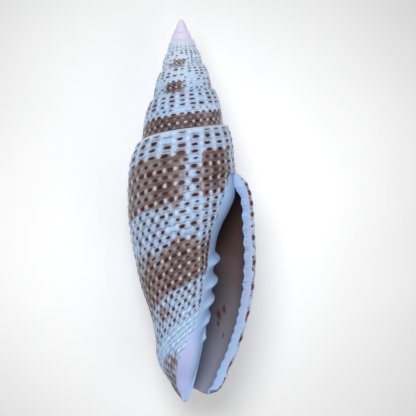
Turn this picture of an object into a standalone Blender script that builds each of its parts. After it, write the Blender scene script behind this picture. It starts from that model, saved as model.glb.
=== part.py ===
"""A mitre shell, 50 mm long, lying on its back with the mouth up.

The shell is one solid. Its outside is a strip that winds down a cone from the tip, each turn larger than
the last, and its inside is a hollow tube that winds up from the mouth. Both are worked out in the shell's
own frame, in millimetres: the coiling axis is Z with the tip of the spire at the origin, and a point is
given by its angle about the axis, its radius, and its depth below the tip. The age of a point is the number
of turns back from the lip.
"""

import math

import bmesh
import bpy
import numpy as np
from mathutils import Matrix, Vector

MM = 0.001

# the growing whorls: the lip is the youngest edge, and a suture is the seam between a whorl and an older one
LENGTH = 50.0
LIP_ANGLE = math.radians(-15)
AGE_AT_TIP = 7
SUTURE_DEPTH = 20.6
SUTURE_RADIUS = 6.74
DEPTH_GROWTH = 0.432
RADIUS_GROWTH = 0.345
LAST_TURN_EASE = 0.07
SUTURE_WAVE = 0.025
SHOULDER_BULGE = 0.122
SPIRE_LEAN = 0.25
SPIRE_LEAN_GROWS = (0, 8)
SPIRE_LEAN_FADES = (14, 19)
TIP_RINGS = (0.7, 0.35)

# a faint flat along the back, which the shell rests on
BACK_FLAT = 0.013
BACK_AGE = 0.305

# the hollow and its mouth
WALL = 0.95
LIP_WALL = 1.5
LIP_ROUNDING = 0.45
LIP_FLARE = 0.35
LIP_SHOULDER = 0.25
LIP_SHOULDER_REACH = 0.04
LIP_SHOULDER_FADES = (23.5, 28)
TOOTH_PITCH = 1.13
TOOTH_HEIGHT = 0.2
CAVITY_TOP = 22.4
CAVITY_TURNS = 2.0
OVERLAP = 0.04

# the lower end, with its open canal
CANAL_BEND = 0.009
CANAL_WIDTH = 1.6
BELOW_SHELL = 53.0
LIP_RISE = 1.1
NOTCH_RISE = 1.5

# which way down is when the shell lies at rest, by its angle about the axis and its dip towards the tip
DOWN_ANGLE = math.radians(97.1)
DOWN_DIP = math.radians(2.4)

SHELL_COLOUR = (0.58, 0.6, 0.66, 1.0)

# outlines as (depth, radius): the last whorl's shoulder, its lip side, its left side, and the columella
BODY_PROFILE = [
    (20.6, 6.74), (21.15, 7.48), (22.3, 8.17), (23.85, 8.6), (26.3, 8.9), (28.85, 9.06), (31.8, 9.10),
    (34.6, 8.88), (37.2, 8.59), (39.9, 7.99), (42.6, 7.15), (45.1, 6.15), (47.8, 5.26), (50.9, 4.87),
    (54.1, 4.6), (57.3, 3.2), (60.6, 1.0), (75.0, 1.0),
]
LIP_SIDE = [
    (20.0, 8.8), (25.3, 9.1), (29.5, 9.02), (31.6, 8.94), (33.7, 8.74), (35.8, 8.5), (37.9, 8.05),
    (40.0, 7.5), (42.1, 6.85), (44.2, 6.18), (45.3, 5.72), (46.3, 5.28), (47.4, 4.95), (48.4, 4.4),
    (48.95, 3.9), (49.6, 3.0),
]
LEFT_SIDE = [
    (20.0, 7.3), (25.3, 7.57), (27.4, 7.45), (29.5, 7.25), (31.6, 6.95), (33.7, 6.43), (35.8, 5.74),
    (37.9, 5.04), (40.0, 4.55), (42.1, 4.26), (43.2, 4.2), (44.2, 4.02), (45.3, 3.6), (46.3, 2.95),
    (47.4, 2.05), (48.4, 1.4), (48.95, 0.9), (49.5, 0.5), (50.0, 0.2),
]
COLUMELLA = [
    (20.6, 6.74), (23.4, 6.55), (25.4, 5.75), (27.3, 4.7), (29.5, 3.9), (31.7, 3.55), (33.3, 3.4),
    (36.2, 3.1), (38.7, 2.6), (40.9, 2.05), (42.5, 1.75), (44.6, 1.35), (46.4, 1.05), (47.8, 0.8),
    (48.95, 0.4), (50.0, 0.25), (50.6, 0.9), (53.0, 1.2),
]

# the ridges on the columella, as (depth, height, width)
FOLDS = [
    (31.8, 0.85, 0.8), (34.6, 0.75, 0.75), (37.0, 0.55, 0.65), (39.3, 0.45, 0.6), (41.4, 0.35, 0.55),
]


def smooth_curve(points):
    """A curve through the points that never overshoots them, as a function of their first number."""
    x = np.array([p[0] for p in points])
    y = np.array([p[1] for p in points])
    slope = np.diff(y) / np.diff(x)
    tangent = np.zeros(len(x))
    tangent[0], tangent[-1] = slope[0], slope[-1]
    for i in range(1, len(x) - 1):
        if slope[i - 1] * slope[i] > 0:
            tangent[i] = 2 * slope[i - 1] * slope[i] / (slope[i - 1] + slope[i])

    def value(at):
        at = np.clip(at, x[0], x[-1])
        i = np.clip(np.searchsorted(x, at) - 1, 0, len(x) - 2)
        step = x[i + 1] - x[i]
        s = (at - x[i]) / step
        return (
            y[i] * (1 + 2 * s) * (1 - s) ** 2
            + y[i + 1] * s * s * (3 - 2 * s)
            + step * s * (1 - s) * (tangent[i] * (1 - s) - tangent[i + 1] * s)
        )

    return value


def ramp(at, start, end):
    """0 before start, 1 after end, and smooth between."""
    s = np.clip((at - start) / (end - start), 0, 1)
    return s * s * (3 - 2 * s)


body_profile = smooth_curve(BODY_PROFILE)
lip_side = smooth_curve(LIP_SIDE)
left_side = smooth_curve(LEFT_SIDE)
columella = smooth_curve(COLUMELLA)


def turned(age):
    return LIP_ANGLE + 2 * math.pi * age


def last_turn(age):
    return LAST_TURN_EASE * (1 - np.exp(-1.5 * age))


def depth_scale(age):
    """Depth of a feature of the last whorl at an earlier age, as a part of its depth at the lip."""
    return np.exp(-DEPTH_GROWTH * age + last_turn(age))


def radius_scale(age):
    return np.exp(-RADIUS_GROWTH * age)


def suture_depth(age):
    return SUTURE_DEPTH * depth_scale(age) * (1 + SUTURE_WAVE * (np.cos(turned(age)) - math.cos(LIP_ANGLE)))


def suture_radius(age):
    return SUTURE_RADIUS * np.exp(-RADIUS_GROWTH * age + last_turn(age))


def bend(depth):
    """How far the axis is from straight: the spire leans to the lip side, and the canal away from it."""
    spire = SPIRE_LEAN * ramp(depth, *SPIRE_LEAN_GROWS) * (1 - ramp(depth, *SPIRE_LEAN_FADES))
    return CANAL_BEND * np.clip(depth - 40, 0, None) ** 2 - spire


NEXT_SUTURE = float(SUTURE_DEPTH / suture_depth(1.0))


def spire_radius(age, across):
    """Radius of a spire whorl, where across runs from 0 at its suture to 1 at the next."""
    upper = suture_radius(age)
    lower = suture_radius(age - 1)
    bulge = SHOULDER_BULGE * upper * 2.9 * across**0.5 * (1 - across) ** 1.3
    return upper + (lower - upper) * across + bulge


def columella_radius(age, depth):
    """Radius of the columella with its folds, which wind round it at a steady share of the growing depth."""
    scaled = depth / depth_scale(age)
    ridges = sum(height * np.exp(-2.2 * ((scaled - at) / width) ** 2) for at, height, width in FOLDS)
    return radius_scale(np.maximum(age, 0)) * (columella(scaled) + ridges * ramp(age, -0.15, -0.04))


def body_radius(age, depth):
    """Radius of the last whorl, for an age of 0 to 1."""
    below = depth / suture_depth(age)
    upper = radius_scale(age) * body_profile(SUTURE_DEPTH * below)
    across = np.clip((below - 1) / (NEXT_SUTURE - 1), 0, 1)
    old = ramp(age, 0.4, 1.0)
    like_spire = spire_radius(1.0, across) * suture_radius(age) / suture_radius(1.0)
    share = np.maximum(old, 1 - ramp(across, 0, 0.15))
    share = np.where(below < NEXT_SUTURE, share, old * np.clip(3.2 - 2.2 * below, 0, None) ** 2)
    upper = upper + (like_spire - upper) * share
    side = (age - 0.04) / 0.5
    lower = lip_side(depth) ** (1 - side) * left_side(depth) ** side
    radius = upper + (lower - upper) * ramp(depth, 28.5, 36.0)
    radius = radius * (1 - BACK_FLAT * np.exp(-(((age - BACK_AGE) / 0.045) ** 2)))
    top = ramp(depth, SUTURE_DEPTH, SUTURE_DEPTH + 1.0) * (1 - ramp(depth, *LIP_SHOULDER_FADES))
    radius = radius + LIP_SHOULDER * top * np.exp(-((age / LIP_SHOULDER_REACH) ** 2))
    front = ramp(age, 0.80, 0.985) * ramp(depth, SUTURE_DEPTH, SUTURE_DEPTH + 2.0)
    return radius + (columella_radius(age - 1, depth) - radius) * front


def end_depth(age):
    """Depth of the shell's lower edge, which has its notch behind the columella."""
    rise = LIP_RISE * (1 - ramp(age, 0.3, 0.75))
    notch = NOTCH_RISE * ramp(age, 0.02, 0.25) * (1 - ramp(age, 0.35, 0.6))
    return LENGTH - rise - notch


def near(age, at, width):
    return math.exp(-(((age - at) / width) ** 2))


def tube_outer(age, depth):
    """Radius of the cavity's outer side, a wall's thickness in from the outside or from the older hollow."""
    if age < 1:
        skin = body_radius(np.full_like(depth, max(age, 0)), np.minimum(depth, 48.6))
    else:
        skin = radius_scale(age) * body_profile(depth * SUTURE_DEPTH / suture_depth(age))
        skin = np.minimum(skin, columella_radius(age - 1, depth))
    wall = WALL * radius_scale(age) ** 0.5 + (LIP_WALL - WALL) * near(age, 0.012, 0.05)
    wall -= LIP_FLARE * near(age, -0.012, 0.01)
    teeth = TOOTH_HEIGHT * near(age, 0.008, 0.02) * ramp(depth, 24, 34)
    return skin - wall - teeth * np.cos(2 * math.pi * depth / TOOTH_PITCH)


def place(age, radius, depth):
    x = radius * np.cos(turned(age)) - bend(depth)
    y = radius * np.sin(turned(age))
    return np.stack([x, y, -depth], axis=-1)


class Skin:
    """Points and faces of a surface that grows one row of points at a time."""

    def __init__(self):
        self.points = []
        self.faces = []

    def add(self, points):
        first = len(self.points)
        self.points.extend(tuple(p) for p in points)
        return list(range(first, len(self.points)))

    def bridge(self, first, second, first_at, second_at):
        """Triangles between two rows of points, which may differ in number, in step with their places."""
        a = b = 0
        while a < len(first) - 1 or b < len(second) - 1:
            a_next = first_at[a + 1] if a < len(first) - 1 else math.inf
            b_next = second_at[b + 1] if b < len(second) - 1 else math.inf
            if a_next <= b_next:
                face = (first[a], first[a + 1], second[b])
                a += 1
            else:
                face = (first[a], second[b + 1], second[b])
                b += 1
            if len(set(face)) == 3:
                self.faces.append(face)

    def fan(self, ring, centre):
        (middle,) = self.add([centre])
        for p, q in zip(ring, ring[1:] + ring[:1]):
            self.faces.append((p, q, middle))

    def dome(self, ring, shares):
        """Closes a ring about the axis with a rounded cap, whose top is the origin and whose own rings lie at
        the given shares of the ring's radius."""
        edge = np.array([self.points[p] for p in ring])
        for share in shares:
            inner = self.add(edge * (share, share, share**2))
            steps = range(len(ring) + 1)
            self.bridge(ring + ring[:1], inner + inner[:1], steps, steps)
            ring = inner
        self.fan(ring, (0, 0, 0))

    def build(self, name):
        mesh = bpy.data.meshes.new(name)
        mesh.from_pydata(self.points, [], self.faces)
        work = bmesh.new()
        work.from_mesh(mesh)
        bmesh.ops.remove_doubles(work, verts=work.verts, dist=1e-5)
        bmesh.ops.recalc_face_normals(work, faces=work.faces)
        bmesh.ops.scale(work, vec=(MM, MM, MM), verts=work.verts)
        work.to_mesh(mesh)
        work.free()
        obj = bpy.data.objects.new(name, mesh)
        bpy.context.scene.collection.objects.link(obj)
        return obj


def fold_rows():
    """Depths at the lip for the rows of points down the columella, close together over each fold."""
    rows = [20.6, 21.6, 22.8, 24.3, 26.2, 28.2, 30.0]
    for at, _, width in FOLDS:
        rows += [at - 0.6 * width, at, at + 0.6 * width, at + 1.5 * width]
    return np.array(rows + [43.2, 44.4, 45.7, 47.0, 48.2, 49.2, 50.0])


def outside(per_turn=28):
    """The whole outside as a closed solid, with a flat step at the mouth from lip to columella."""
    skin = Skin()
    down = (fold_rows() - SUTURE_DEPTH) / (LENGTH - SUTURE_DEPTH)
    across = np.array([0, 0.07, 0.2, 0.4, 0.68, 1])
    rows = len(across) - 1
    spire = [i / per_turn for i in range(AGE_AT_TIP * per_turn, per_turn, -1)]
    regular = [i / per_turn for i in range(per_turn, -1, -1)]
    between = [(i - 0.5) / per_turn for i in range(per_turn * 7 // 8, per_turn + 1)]
    body = sorted(set(regular + between + [0.012, 0.004]), reverse=True)
    older = []
    for age in spire:
        depth = suture_depth(age) + (suture_depth(age - 1) - suture_depth(age)) * across[:-1]
        older.append(skin.add(place(age, spire_radius(age, across[:-1]), depth)))
    younger = []
    for age in body:
        depth = suture_depth(age) * (1 + (NEXT_SUTURE - 1) * across)
        end = end_depth(age)
        depth = np.concatenate([depth[:-1], depth[-1] + (end - depth[-1]) * down])
        radius = body_radius(np.full_like(depth, age), depth)
        radius[0] = suture_radius(age)
        radius[1:] -= LIP_ROUNDING * max(0, 1 - age / 0.012) ** 2
        younger.append(skin.add(place(age, radius, depth)))
    starts = [row[0] for row in older] + [younger[body.index(age)][0] for age in regular]
    for row, start in zip(older, starts[per_turn:]):
        row.append(start)
    older[0] = starts[per_turn : per_turn + 1] * (rows + 1)
    lip = younger[-1]
    younger[0][rows] = lip[0]
    turns = older + [younger[0][: rows + 1]]
    for row, following in zip(turns, turns[1:]):
        skin.bridge(row, following, range(rows + 1), range(rows + 1))
    for row, following in zip(younger, younger[1:]):
        skin.bridge(row, following, range(len(row)), range(len(row)))
    for age, following in zip(regular, regular[1:]):
        joint = [row[0] for row in younger[body.index(age) : body.index(following) + 1]]
        skin.bridge(joint, joint[:1] + joint[-1:], range(len(joint)), [0, len(joint)])
    inner = younger[0][rows:]
    skin.bridge(lip, inner, [-skin.points[p][2] for p in lip], [-skin.points[p][2] for p in inner])
    skin.fan([row[-1] for row in younger], (-bend(LENGTH), 0, -LENGTH - 0.1))
    skin.dome(starts[1 : per_turn + 1], TIP_RINGS)
    return skin.build("shell")


def cavity(per_turn=20):
    """The hollow tube, from just outside the mouth back to its blind end."""
    skin = Skin()
    lip_ages = [-0.02, -0.008, 0.0, 0.010, 0.025]
    ages = lip_ages + [i / per_turn for i in range(1, int(CAVITY_TURNS * per_turn) + 1)]
    loops = []
    for age in ages:
        scale = float(depth_scale(max(age, 0)))
        top = CAVITY_TOP * scale
        bottom = BELOW_SHELL + (49.9 * scale - 1.5 - BELOW_SHELL) * float(ramp(age, 0.22, 0.43))
        inner = fold_rows() * scale
        inner = inner[(inner > top + 0.7 * scale) & (inner < bottom - scale)]
        inner = np.concatenate([[top, top + 0.35 * scale], inner, [bottom - 0.5 * scale, bottom]])
        if age in lip_ages:
            outer = np.linspace(top, bottom, 91)
        else:
            outer = top + (bottom - top) * (1 - np.cos(np.linspace(0, math.pi, 15))) / 2
        low = columella_radius(age, outer) - OVERLAP
        high = np.maximum(tube_outer(age, outer), low + 0.25 * scale)
        if age < 0.3:
            high = np.where(outer > 45, np.maximum(high, low + CANAL_WIDTH), high)
        pinch = np.clip((outer - top) / (1.6 * scale), 0, 1) ** 0.5
        if bottom < BELOW_SHELL - 1:
            pinch = pinch * np.clip((bottom - outer) / (2.5 * scale), 0, 1) ** 0.5
        inner_side = skin.add(place(age, columella_radius(age, inner) - OVERLAP, inner))
        outer_side = skin.add(place(age, low + (high - low) * pinch, outer)[1:-1])
        outer_side = inner_side[:1] + outer_side + inner_side[-1:]
        loops.append((inner_side, inner / scale, outer_side, outer / scale))
    for loop, deeper in zip(loops, loops[1:]):
        skin.bridge(loop[0], deeper[0], loop[1], deeper[1])
        skin.bridge(loop[2], deeper[2], loop[3], deeper[3])
    for inner_side, inner_at, outer_side, outer_at in (loops[0], loops[-1]):
        skin.bridge(inner_side, outer_side, inner_at, outer_at)
    return skin.build("cavity")


def cut(obj, cutter):
    cutter.hide_render = True
    cutter.display_type = "WIRE"
    modifier = obj.modifiers.new("cut_" + cutter.name, "BOOLEAN")
    modifier.operation = "DIFFERENCE"
    modifier.solver = "EXACT"
    modifier.object = cutter


def lie_down(objects):
    """Turns the shell from its own frame onto its back: mouth up, tip towards +Y, lip towards +X."""
    down = Vector((math.cos(DOWN_ANGLE), math.sin(DOWN_ANGLE), math.tan(DOWN_DIP))).normalized()
    up = -down
    tip = (Vector((0, 0, 1)) - up * up.z).normalized()
    turn = Matrix((tip.cross(up), tip, up)).to_4x4()
    for obj in objects:
        obj.data.transform(turn)
    bpy.context.view_layer.update()
    rested = objects[0].evaluated_get(bpy.context.evaluated_depsgraph_get())
    corners = np.array([v.co for v in rested.data.vertices])
    low, high = corners.min(axis=0), corners.max(axis=0)
    shift = Matrix.Translation((-(low[0] + high[0]) / 2, -(low[1] + high[1]) / 2, -low[2]))
    for obj in objects:
        obj.data.transform(shift)


def main():
    for obj in list(bpy.data.objects):
        bpy.data.objects.remove(obj)
    shell = outside()
    tube = cavity()
    material = bpy.data.materials.new("shell")
    material.use_nodes = True
    surface = material.node_tree.nodes["Principled BSDF"].inputs
    surface["Base Color"].default_value = SHELL_COLOUR
    surface["Roughness"].default_value = 0.35
    for obj in (shell, tube):
        obj.data.materials.append(material)
        obj.data.shade_smooth()
    cut(shell, tube)
    lie_down((shell, tube))


main()
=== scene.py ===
"""The looks of a mitre shell, 50 mm long, that lies on its back with the mouth up.

The shell's surface is made in the shell's own frame, in millimetres, by the same growth rule as its solid:
the coiling axis is Z with the tip of the spire at the origin, and a point is given by its angle about the
axis, its radius, and its depth below the tip. The age of a point is the number of turns back from the lip.
Low cords and beads are in the mesh, whose face corners carry the values that the material draws from.
"""

import math

import bmesh
import bpy
import numpy as np
from mathutils import Matrix, Vector


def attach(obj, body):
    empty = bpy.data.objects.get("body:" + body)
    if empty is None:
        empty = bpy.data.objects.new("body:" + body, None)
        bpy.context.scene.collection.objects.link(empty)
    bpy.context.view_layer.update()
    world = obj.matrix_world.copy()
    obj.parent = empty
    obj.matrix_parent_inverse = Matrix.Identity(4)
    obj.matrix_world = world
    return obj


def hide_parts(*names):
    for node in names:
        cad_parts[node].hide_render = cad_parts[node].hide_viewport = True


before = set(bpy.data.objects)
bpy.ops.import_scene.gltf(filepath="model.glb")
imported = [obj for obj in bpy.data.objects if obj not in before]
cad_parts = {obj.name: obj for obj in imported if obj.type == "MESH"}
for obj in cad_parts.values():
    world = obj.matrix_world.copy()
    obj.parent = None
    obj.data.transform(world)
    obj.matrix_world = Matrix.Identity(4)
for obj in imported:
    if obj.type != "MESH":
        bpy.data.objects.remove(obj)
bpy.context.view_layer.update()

MM = 0.001

# the growing whorls: the lip is the youngest edge, and a suture is a whorl's seam to an older one
LENGTH = 50.0
LIP_ANGLE = math.radians(-15)
AGE_AT_TIP = 7
SUTURE_DEPTH = 20.6
SUTURE_RADIUS = 6.74
DEPTH_GROWTH = 0.432
RADIUS_GROWTH = 0.345
LAST_TURN_EASE = 0.07
LAST_TURN_RATE = 1.5
SUTURE_WAVE = 0.025
TIP_RINGS = (0.93, 0.8, 0.62, 0.42, 0.2)

# a whorl's bulge below its suture: its height, the scale that makes its shape 1 high, and two powers
SHOULDER_BULGE = 0.122
BULGE_SCALE = 2.9
BULGE_RISE = 0.5
BULGE_FALL = 1.3

# the spire leans to the lip side between these depths, and the canal bends away from it
SPIRE_LEAN = 0.25
SPIRE_LEAN_GROWS = (0, 8)
SPIRE_LEAN_FADES = (14, 19)
CANAL_BEND = 0.009
CANAL_BEND_TOP = 40

# the last whorl: where it is like the spire's, its lower part, and its front at the mouth
LIKE_SPIRE_AGES = (0.4, 1.0)
LIKE_SPIRE_TOP = (0, 0.15)
LIKE_SPIRE_FALL = 2.2
LIP_SIDE_AGE = 0.04
LOWER_DEPTHS = (28.5, 36.0)
FRONT_AGES = (0.80, 0.985)
FRONT_GROWS = 2.0

# a faint flat along the back, which the shell rests on
BACK_FLAT = 0.013
BACK_AGE = 0.305
BACK_REACH = 0.045

# the lip, where a pair called AT is an age and a reach about it
WALL = 0.95
LIP_WALL = 1.5
LIP_WALL_AT = (0.012, 0.05)
LIP_ROUNDING = 0.45
LIP_ROUND_AGE = 0.012
LIP_FLARE = 0.35
LIP_FLARE_AT = (-0.012, 0.01)
LIP_SHOULDER = 0.25
LIP_SHOULDER_REACH = 0.04
LIP_SHOULDER_GROWS = 1.0
LIP_SHOULDER_FADES = (23.5, 28)
TOOTH_PITCH = 1.13
TOOTH_HEIGHT = 0.09
TEETH_AT = (0.014, 0.022)
TEETH_GROW = (33, 38)
SCALLOP_PITCH = 1.75
SCALLOP_HEIGHT = 0.09
SCALLOPS_AT = (0.0, 0.03)
SCALLOPS_FADE = (36, 40)

# the hollow, which cuts into the columella by OVERLAP and just outside the mouth stays clear of it
CAVITY_TOP = 22.4
CAVITY_BOTTOM = 49.9
CAVITY_TURNS = 2.0
CAVITY_THINNEST = 0.25
CAVITY_TOP_ROUNDING = 1.6
CAVITY_END_ROUNDING = 2.5
SKIN_BOTTOM = 48.6
OVERLAP = 0.01
MOUTH_CLEARS = (-0.02, -0.002)
MOUTH_CLEARANCE = 0.04

# the lower end, with its open canal
CANAL_WIDTH = 1.6
CANAL_TOP = 45
CANAL_AGE = 0.3
CANAL_CLOSES = (0.22, 0.43)
CANAL_CLOSING_RISE = 1.5
BELOW_SHELL = 53.0
LIP_RISE = 1.1
LIP_RISE_FADES = (0.3, 0.75)
NOTCH_RISE = 1.5
NOTCH_GROWS = (0.02, 0.25)
NOTCH_FADES = (0.35, 0.6)

# which way down is when the shell lies at rest: angle about the axis, and dip towards the tip
DOWN_ANGLE = math.radians(97.1)
DOWN_DIP = math.radians(2.4)

# outlines as (depth, radius): the last whorl's shoulder, its lip side, its left side, and the columella
BODY_PROFILE = [
    (20.6, 6.74), (21.15, 7.48), (22.3, 8.17), (23.85, 8.6), (26.3, 8.9), (28.85, 9.06), (31.8, 9.10),
    (34.6, 8.88), (37.2, 8.59), (39.9, 7.99), (42.6, 7.15), (45.1, 6.15), (47.8, 5.26), (50.9, 4.87),
    (54.1, 4.6), (57.3, 3.2), (60.6, 1.0), (75.0, 1.0),
]
LIP_SIDE = [
    (20.0, 8.8), (25.3, 9.1), (29.5, 9.02), (31.6, 8.94), (33.7, 8.74), (35.8, 8.5), (37.9, 8.05),
    (40.0, 7.5), (42.1, 6.85), (44.2, 6.18), (45.3, 5.72), (46.3, 5.28), (47.4, 4.95), (48.4, 4.4),
    (48.95, 3.9), (49.6, 3.0),
]
LEFT_SIDE = [
    (20.0, 7.3), (25.3, 7.57), (27.4, 7.45), (29.5, 7.25), (31.6, 6.95), (33.7, 6.43), (35.8, 5.74),
    (37.9, 5.04), (40.0, 4.55), (42.1, 4.26), (43.2, 4.2), (44.2, 4.02), (45.3, 3.6), (46.3, 2.95),
    (47.4, 2.05), (48.4, 1.4), (48.95, 0.9), (49.5, 0.5), (50.0, 0.2),
]
COLUMELLA = [
    (20.6, 6.74), (23.4, 6.55), (25.4, 5.75), (27.3, 4.7), (29.5, 3.9), (31.7, 3.55), (33.3, 3.4),
    (36.2, 3.1), (38.7, 2.6), (40.9, 2.05), (42.5, 1.75), (44.6, 1.35), (46.4, 1.05), (47.8, 0.8),
    (48.95, 0.4), (50.0, 0.25), (50.6, 0.9), (53.0, 1.2),
]

# the ridges on the columella, as (depth, height, width)
FOLDS = [
    (31.8, 0.85, 0.8), (34.6, 0.75, 0.75), (37.0, 0.55, 0.65), (39.3, 0.45, 0.6), (41.4, 0.35, 0.55),
]
FOLD_SHARPNESS = 2.2
FOLDS_GROW = (-0.15, -0.04)

# fineness of the outside: rows of points in a turn, and points down a row
COLUMNS = 220
LIP_COLUMNS = (0.02, 0.08, 0.18, 0.32, 0.5, 0.72, 1)
ROW_SPACING = 0.135
FEWEST_STEPS = 8
LAST_WHORL = 8.0
LOWER_STEPS = 131
COLUMELLA_STEPS = 201
COLUMELLA_AGE = 0.9

# fineness of the hollow: ages of the rows at the mouth, rows in a turn, and points down a row
MOUTH_AGES = [
    -0.02, -0.016, -0.012, -0.009, -0.006, -0.004, -0.002, 0.0, 0.002, 0.005, 0.008, 0.012, 0.018, 0.025,
]
CAVITY_COLUMNS = 60
DEEP_COLUMNS = 30
DEEP_AGE = 0.5
MOUTH_STEPS = 181
MOUTH_AGE = 0.05
CAVITY_STEPS = 61
TOP_GAP = 0.7
BOTTOM_GAP = 1.0

# spiral cords, as (depth at the front of the last whorl, number of cords down from the suture)
CORD_AGE = 0.8
CORD_NUMBER = [(14.9, 0.0), (29.3, 15.5), (38.3, 27.5), (50.0, 45.0)]
WIDE_CORDS = 4

# how much faster than the shell the cords run down
CORD_SINK = 0.12
CORD_SINK_BELOW = 0.33
CORD_SINK_DEPTHS = (16, 38)
CORD_SINK_AGE = 1.3

# how far things stand out
CORD_HEIGHT = 0.06
BEAD_HEIGHT = 0.07
WEAK_BEAD = 0.6
SUTURE_BEAD = 0.16
SUTURE_BEAD_AT = (0.045, 0.05)
RELIEF_MIDDLE = 0.07
RELIEF_SHRINKS = 1.3
RELIEF_FADES = (4.0, 5.0)
COLUMELLA_RIDGE = 0.22
COLUMELLA_RIDGE_AT = (0.965, 0.018)
COLUMELLA_RIDGE_GROWS = (38, 42)

# dashes per turn along the cords: far apart on the first, close together elsewhere
WIDE_DASHES = 22
WIDE_DASH_START = 0.27
CLOSE_DASHES = 31
CLOSE_DASH_START = 0.1
STRONG_DASH_AT = 0.738

# brown flames on the shoulder and lower down, as (turns, half width, darkness)
SHOULDER_FLAMES = [
    (0.03, 0.06, 0.9), (0.22, 0.07, 1.0), (0.43, 0.07, 0.9), (0.575, 0.06, 0.9), (0.69, 0.058, 1.3),
    (0.858, 0.06, 1.3), (1.02, 0.06, 0.9), (1.22, 0.08, 1.0), (1.44, 0.07, 0.9), (1.7, 0.14, 1.7),
    (1.9, 0.06, 0.8), (2.08, 0.07, 0.8), (2.3, 0.08, 1.0), (2.5, 0.05, 0.7), (2.7, 0.06, 1.3),
    (3.0, 0.09, 0.7), (3.3, 0.1, 0.8), (3.72, 0.1, 0.6),
]
BELLY_FLAMES = [
    (0.06, 0.08, 0.9), (0.26, 0.09, 1.0), (0.47, 0.08, 0.8), (0.6, 0.07, 0.8), (0.735, 0.08, 1.35),
    (0.86, 0.05, 0.8),
]

# the cords that the flames cover, which differ along the turns
FLAME_SLANT = 0.004
FLAME_SLANT_CORD = 7
FLAME_FIRST = 3.4
FLAME_FIRST_OLD = (1.3, 1.55)
FLAME_FIRST_DROP = 2.0
FLAME_FIRST_SOFT = (-0.6, 0.9)
FLAME_LAST = 12.0
FLAME_LAST_OLD = (0.74, 0.8)
FLAME_LAST_RISE = 1.0
FLAME_LAST_SOFT = 3.2
BELLY_CORDS = ((13.5, 17.5), (22.4, 23.2))

# fainter brown below the flames and at the lower end
LOW_BROWN = 0.3
LOW_CORDS = ((23.0, 24.0), (27.0, 29.0))
LOW_TURNS = (0.62, 0.72)
END_BROWN = 0.55
END_CORDS = (30.5, 33.0)
END_TURNS = (0.66, 0.73)

# left edge of the smooth glaze beside the mouth, as (depth, age), and how soft it is
GLAZE_EDGE = [
    (19.0, 1.0), (20.6, 0.966), (22.8, 0.942), (25.0, 0.918), (29.0, 0.915), (32.0, 0.9), (35.2, 0.874),
    (38.2, 0.862), (40.4, 0.84), (42.0, 0.8), (43.5, 0.765), (46.7, 0.68), (48.0, 0.63), (50.0, 0.56),
]
GLAZE_TOP = 20.0
GLAZE_SOFT = 0.004
GLAZE_SOFT_BELOW = 0.01
GLAZE_SOFT_DEPTHS = (40, 44)

# the lip's glazed edge and spotted margin, and a dark rim along the lower end on the lip side, which is
# painted shadow under that edge
LIP_GLAZE = (0, 0.0015)
MARGIN_AGES = ((0.0, 0.0008), (0.004, 0.01))
RIM_SHADOW_HEIGHTS = (0.35, 0.1)
RIM_SHADOW_FADES = (0.3, 0.4)

# ages over which the hollow gets dark, on the columella and behind the lip
COLUMELLA_DARKENS = (0.03, 0.2)
DARK_START = 0.006
DARK_AFTER_TEETH = 0.012
DARK_REACH = 0.02


def smooth_curve(points):
    """A curve through the points that never overshoots them, as a function of their first number."""
    x = np.array([p[0] for p in points])
    y = np.array([p[1] for p in points])
    slope = np.diff(y) / np.diff(x)
    tangent = np.zeros(len(x))
    tangent[0], tangent[-1] = slope[0], slope[-1]
    for i in range(1, len(x) - 1):
        if slope[i - 1] * slope[i] > 0:
            tangent[i] = 2 * slope[i - 1] * slope[i] / (slope[i - 1] + slope[i])

    def value(at):
        at = np.clip(at, x[0], x[-1])
        i = np.clip(np.searchsorted(x, at) - 1, 0, len(x) - 2)
        step = x[i + 1] - x[i]
        s = (at - x[i]) / step
        return (
            y[i] * (1 + 2 * s) * (1 - s) ** 2
            + y[i + 1] * s * s * (3 - 2 * s)
            + step * s * (1 - s) * (tangent[i] * (1 - s) - tangent[i + 1] * s)
        )

    return value


def ramp(at, start, end):
    """0 before start, 1 after end, and smooth between."""
    s = np.clip((at - start) / (end - start), 0, 1)
    return s * s * (3 - 2 * s)


def band(at, grows, fades):
    """1 between two ramps and 0 outside them."""
    return ramp(at, *grows) * (1 - ramp(at, *fades))


def near(at, middle, reach):
    """1 at the middle, and soon 0 past the reach."""
    return np.exp(-(((at - middle) / reach) ** 2))


def wave(at, pitch=1.0):
    """A wave from -1 to 1 with a top at 0 and at every pitch."""
    return np.cos(2 * math.pi * at / pitch)


body_profile = smooth_curve(BODY_PROFILE)
lip_side = smooth_curve(LIP_SIDE)
left_side = smooth_curve(LEFT_SIDE)
columella = smooth_curve(COLUMELLA)
cord_number = smooth_curve(CORD_NUMBER)
glaze_edge = smooth_curve(GLAZE_EDGE)


def turned(age):
    """Angle about the axis."""
    return LIP_ANGLE + 2 * math.pi * age


def turns_at(age):
    """The same angle in whole turns, which the pattern is drawn by."""
    return LIP_ANGLE / (2 * math.pi) + age


def last_turn(age):
    return LAST_TURN_EASE * (1 - np.exp(-LAST_TURN_RATE * age))


def depth_scale(age):
    """Depth of a feature of the last whorl at an earlier age, as a part of its depth at the lip."""
    return np.exp(-DEPTH_GROWTH * age + last_turn(age))


def radius_scale(age):
    return np.exp(-RADIUS_GROWTH * age)


def suture_depth(age):
    return SUTURE_DEPTH * depth_scale(age) * (1 + SUTURE_WAVE * (np.cos(turned(age)) - math.cos(LIP_ANGLE)))


def suture_radius(age):
    return SUTURE_RADIUS * np.exp(-RADIUS_GROWTH * age + last_turn(age))


def bend(depth):
    """How far the axis is from straight: the spire leans to the lip side, and the canal away from it."""
    spire = SPIRE_LEAN * band(depth, SPIRE_LEAN_GROWS, SPIRE_LEAN_FADES)
    return CANAL_BEND * np.clip(depth - CANAL_BEND_TOP, 0, None) ** 2 - spire


NEXT_SUTURE = float(SUTURE_DEPTH / suture_depth(1.0))


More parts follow.
